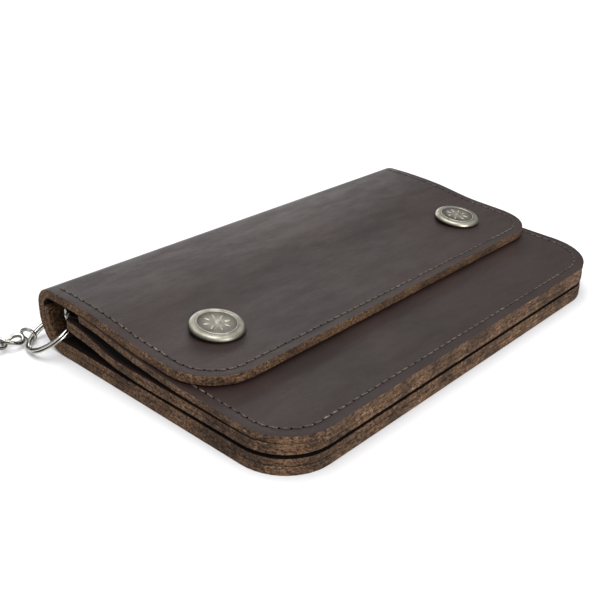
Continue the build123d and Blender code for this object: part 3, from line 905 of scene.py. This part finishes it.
# Painted shade on the strand's upper and lower sides, where the two turns lie against each other.
paint_patina_and_shade(ring, lambda co: max(0.0, min(1.0, 2.2 * abs(co.z / MM + strand_gap) / strand_half - 1.2)))
wind = ring.modifiers.new("Wind", "SCREW")
wind.angle = 4 * math.pi - 0.5
wind.screw_offset = 2 * strand_gap * MM
wind.steps = 120
wind.render_steps = 120
wind.use_normal_calculate = True
apply_all(ring)
bpy.ops.object.shade_smooth()
ring.data.materials.append(nickel)
turned = Matrix((ring_out, eyelet_out, ring_side)).transposed().to_4x4()
ring.matrix_world = Matrix.Translation(ring_c * MM) @ turned @ Matrix.Rotation(math.radians(200), 4, "Z")
only(ring)
bpy.ops.object.transform_apply(location=True, rotation=True, scale=True)
pick(ring, lambda co: True)
bpy.ops.mesh.normals_make_consistent(inside=False)
done()
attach(ring, "ring")
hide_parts("split_ring")
report(ring)
print("ring middle", [round(c, 2) for c in ring_c])

# %% [markdown]
# ## Chain
# One smooth line carries all the links: out from the ring, round the flat coil and in
# to the clasp.

# %%
chain_z = 2.8
coil_c = (-157.5, 52.5)
coil_r, inner_r, entry_angle = 37.3, 26.1, 58.0
entry = (coil_c[0] + coil_r * math.cos(math.radians(entry_angle)),
         coil_c[1] + coil_r * math.sin(math.radians(entry_angle)))
heading = math.radians(entry_angle + 90)
line = [(-94.0, 58.6), (-97.8, 59.1), (-104.5, 60.6), (-117.0, 68.0),
        (entry[0] - 12 * math.cos(heading), entry[1] - 12 * math.sin(heading)), entry]
turns = 727.0
steps = 40
for k in range(1, steps + 1):
    swept = turns * k / steps
    r = coil_r - (coil_r - inner_r) * min(1.0, swept / 720.0)
    a = math.radians(entry_angle + swept)
    line.append((coil_c[0] + r * math.cos(a), coil_c[1] + r * math.sin(a)))
line += [(coil_c[0] + 5.2, coil_c[1] + 26.7), (coil_c[0] - 5.9, coil_c[1] + 19.6),
         (coil_c[0] - 5.9, coil_c[1] + 7.0)]

curve = bpy.data.curves.new("chain_line", "CURVE")
curve.dimensions = "3D"
curve.twist_mode = "Z_UP"
curve.resolution_u = 12
spline = curve.splines.new("NURBS")
spline.points.add(len(line) - 1)
for target, (x, y) in zip(spline.points, line):
    target.co = (x * MM, y * MM, chain_z * MM, 1)
spline.order_u = 3
spline.use_endpoint_u = True
chain_line = bpy.data.objects.new("chain_line", curve)
bpy.context.scene.collection.objects.link(chain_line)
bpy.context.view_layer.update()
traced = bpy.data.meshes.new_from_object(chain_line)
followed = [tuple(v.co) for v in traced.vertices]
chain_length = path_length(followed)
print("chain line", len(followed), "points", round(chain_length, 4), "m")

# %% [markdown]
# A curb link is a flattened loop of wire with a twist, so that its neighbours pass
# through it and the chain still lies flat.

# %%
link_pitch = 5.75
thin = 0.25
bpy.ops.mesh.primitive_torus_add(major_segments=24, minor_segments=8, major_radius=1.0, minor_radius=thin)
links = named("curb_links")
wire, link_half, link_half_wide = 0.74, 4.2, 2.85
half_long, half_wide = link_half - wire, link_half_wide - wire
# Painted shade on the inner and outer sides of each link's wire.
paint_patina_and_shade(links, lambda co: wire_painted_shade(math.hypot(co.x, co.y) - 1.0, thin))
for vertex in links.data.vertices:
    around = math.atan2(vertex.co.y, vertex.co.x)
    spoke = (math.hypot(vertex.co.x, vertex.co.y) - 1.0) / thin * wire
    rise = vertex.co.z / thin * wire
    x = half_long * math.cos(around)
    y = half_wide * math.sin(around)
    nx, ny = math.cos(around) / half_long, math.sin(around) / half_wide
    size = math.hypot(nx, ny)
    vertex.co = ((x + spoke * nx / size) * MM, (y + spoke * ny / size) * MM, rise * MM)
twist = links.modifiers.new("Twist", "SIMPLE_DEFORM")
twist.deform_method = "TWIST"
twist.deform_axis = "X"
twist.angle = math.radians(95)
apply_all(links)
links.data.materials.append(nickel)
pick(links, lambda co: True)
bpy.ops.transform.translate(value=(link_half * MM, 0, 0))
done()
room = chain_length - 2 * link_half * MM
count = int(room / MM / link_pitch) + 1
repeat = links.modifiers.new("Repeat", "ARRAY")
repeat.use_relative_offset = False
repeat.use_constant_offset = True
repeat.constant_offset_displace = (room / (count - 1), 0, 0)
repeat.count = count
follow = links.modifiers.new("Follow", "CURVE")
follow.object = chain_line
follow.deform_axis = "POS_X"
apply_all(links)
bpy.ops.object.shade_smooth()
print("links", count, "pitch", round(room / MM / (count - 1), 3))

# %% [markdown]
# A plain round link joins the curb chain to the split ring.

# %%
along = math.radians(68)
strand = ring_c + (ring_out * math.cos(along) + eyelet_out * math.sin(along)) * ring_r
jump_r, jump_wire = 2.4, 0.58
bpy.ops.mesh.primitive_torus_add(major_segments=36, minor_segments=10, major_radius=jump_r * MM,
                                 minor_radius=jump_wire * MM)
jump = named("round_link")
jump.data.materials.append(nickel)
# Painted shade on the inner and outer sides of the round link's wire.
paint_patina_and_shade(jump, lambda co: wire_painted_shade(math.hypot(co.x, co.y) / MM - jump_r, jump_wire))
bpy.ops.object.shade_smooth()
tangent = (eyelet_out * math.cos(along) - ring_out * math.sin(along)).normalized()
tip = Vector((0, 0, 1)).rotation_difference(tangent).to_matrix().to_4x4()
jump.matrix_world = Matrix.Translation(Vector((strand.x - 0.9, strand.y + 0.3, 2.95)) * MM) @ tip
only(jump)
bpy.ops.object.transform_apply(location=True, rotation=True, scale=True)
print("strand", [round(c, 2) for c in strand], "tangent", [round(c, 2) for c in tangent])
chain = join("curb_chain", [links, jump])
bpy.data.objects.remove(chain_line)
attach(chain, "back")
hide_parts("chain_run", "chain_coil", "chain_tail")
report(chain)

# %% [markdown]
# ## Zip teeth
# Small blocks in two rows, half a pitch apart.


# %%
def teeth(name, node, z, shift):
    bpy.ops.mesh.primitive_cube_add(size=1)
    obj = named(name)
    obj.data.materials.append(brass)
    pick(obj, lambda co: True)
    bpy.ops.transform.resize(value=(0.95 * MM, 1.8 * MM, 1.55 * MM), center_override=(0, 0, 0))
    bpy.ops.mesh.bevel(offset=0.18 * MM, segments=1)
    bpy.ops.mesh.select_all(action="SELECT")
    bpy.ops.transform.translate(value=((-67.4 + shift) * MM, 42.9 * MM, z * MM))
    done()
    repeat = obj.modifiers.new("Repeat", "ARRAY")
    repeat.use_relative_offset = False
    repeat.use_constant_offset = True
    repeat.constant_offset_displace = (1.6 * MM, 0, 0)
    repeat.count = 86
    apply_all(obj)
    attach(obj, "back")
    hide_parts(node)
    return report(obj)


teeth("zip_teeth_high", "zip_teeth_upper", 15.25, 0.0)
teeth("zip_teeth_low", "zip_teeth_lower", 13.55, 0.8)

# %% [markdown]
# ## Plain fixed parts
# These keep their own shape and only get a finish and softened edges.

# %%
plain = {"card_pocket_rear": grain, "card_pocket_front": grain, "zip_tape_upper": cloth,
         "zip_tape_lower": cloth, "zip_stops": brass, "zip_slider": brass, "zip_pull": brass,
         "snap_sockets": antique, "snap_studs": antique, "snap_stud_rivets": antique, "clasp_eye": nickel,
         "clasp_body": nickel, "clasp_pin": nickel, "clasp_gate": nickel}
for node, item in plain.items():
    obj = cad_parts[node]
    obj.data.materials.clear()
    obj.data.materials.append(item)
    soften(obj, 0.12, 2)
print("plain parts", len(plain))

# %% [markdown]
# ## Camera, light and floor

# %%
azimuth, elevation, roll = math.radians(49.16), math.radians(25.92), math.radians(1.81)
look = Vector((math.sin(azimuth) * math.cos(elevation), math.cos(azimuth) * math.cos(elevation),
               -math.sin(elevation)))
level = Vector((math.cos(azimuth), -math.sin(azimuth), 0))
up = level.cross(look)
right = level * math.cos(roll) + up * math.sin(roll)
up = right.cross(look)
data = bpy.data.cameras.new("camera")
data.lens = 55.0
data.sensor_width = 36.0
data.clip_start = 0.01
camera = bpy.data.objects.new("camera", data)
bpy.context.scene.collection.objects.link(camera)
turned = Matrix((right, up, -look)).transposed().to_4x4()
camera.matrix_world = Matrix.Translation((-0.23333, -0.17918, 0.14600)) @ turned
bpy.context.scene.camera = camera


def soft_light(name, place, target, width, depth, power, colour=(1, 1, 1)):
    lamp = bpy.data.lights.new(name, "AREA")
    lamp.shape = "RECTANGLE"
    lamp.size = width
    lamp.size_y = depth
    lamp.energy = power
    lamp.color = colour
    obj = bpy.data.objects.new(name, lamp)
    bpy.context.scene.collection.objects.link(obj)
    away = Vector(place) - Vector(target)
    obj.matrix_world = Matrix.Translation(place) @ away.to_track_quat("Z", "Y").to_matrix().to_4x4()


soft_light("overhead", (-0.1, 0.05, 0.9), (0, 0, 0), 0.9, 0.7, 6.8)
soft_light("behind", (0.55, 0.95, 0.36), (0, 0, 0.01), 1.1, 0.24, 3.2)
soft_light("front", (-0.2, -1.0, 0.42), (0, 0, 0), 0.6, 0.4, 8.0)

bpy.ops.mesh.primitive_plane_add(size=6)
floor = named("table")
white = bpy.data.materials.new("white_table")
white.use_nodes = True
paper = white.node_tree.nodes["Principled BSDF"]
paper.inputs["Base Color"].default_value = (0.74, 0.74, 0.75, 1)
paper.inputs["Roughness"].default_value = 0.8
paper.inputs["Emission Color"].default_value = (1, 1, 1, 1)
spot = tree_node(white.node_tree, "ShaderNodeTexCoord", (-900, 0))
reach = tree_node(white.node_tree, "ShaderNodeVectorMath", (-700, 0))
reach.operation = "LENGTH"
white.node_tree.links.new(spot.outputs["Object"], reach.inputs[0])
glow = stepped(white.node_tree, reach.outputs["Value"], 0.25, 1.3, 0.0, 1.0, (-500, 0))
white.node_tree.links.new(glow, paper.inputs["Emission Strength"])
floor.data.materials.append(white)

world = bpy.data.worlds.new("studio")
world.use_nodes = True
tree = world.node_tree
background = tree.nodes["Background"]
where = tree_node(tree, "ShaderNodeTexCoord", (-1100, 0))
parts = tree.nodes.new("ShaderNodeSeparateXYZ")
tree.links.new(where.outputs["Generated"], parts.inputs["Vector"])
tall = stepped(tree, parts.outputs["Z"], 0.05, 0.75, 0.10, 0.95, (-700, 0))
rays = tree.nodes.new("ShaderNodeLightPath")
level_mix = tree.nodes.new("ShaderNodeMix")
level_mix.data_type = "FLOAT"
tree.links.new(rays.outputs["Is Camera Ray"], level_mix.inputs["Factor"])
tree.links.new(tall, level_mix.inputs[2])
level_mix.inputs[3].default_value = 1.05
background.inputs["Color"].default_value = (1, 1, 1, 1)
tree.links.new(level_mix.outputs[0], background.inputs["Strength"])
bpy.context.scene.world = world
bpy.context.scene.view_settings.view_transform = "Standard"
bpy.context.view_layer.update()
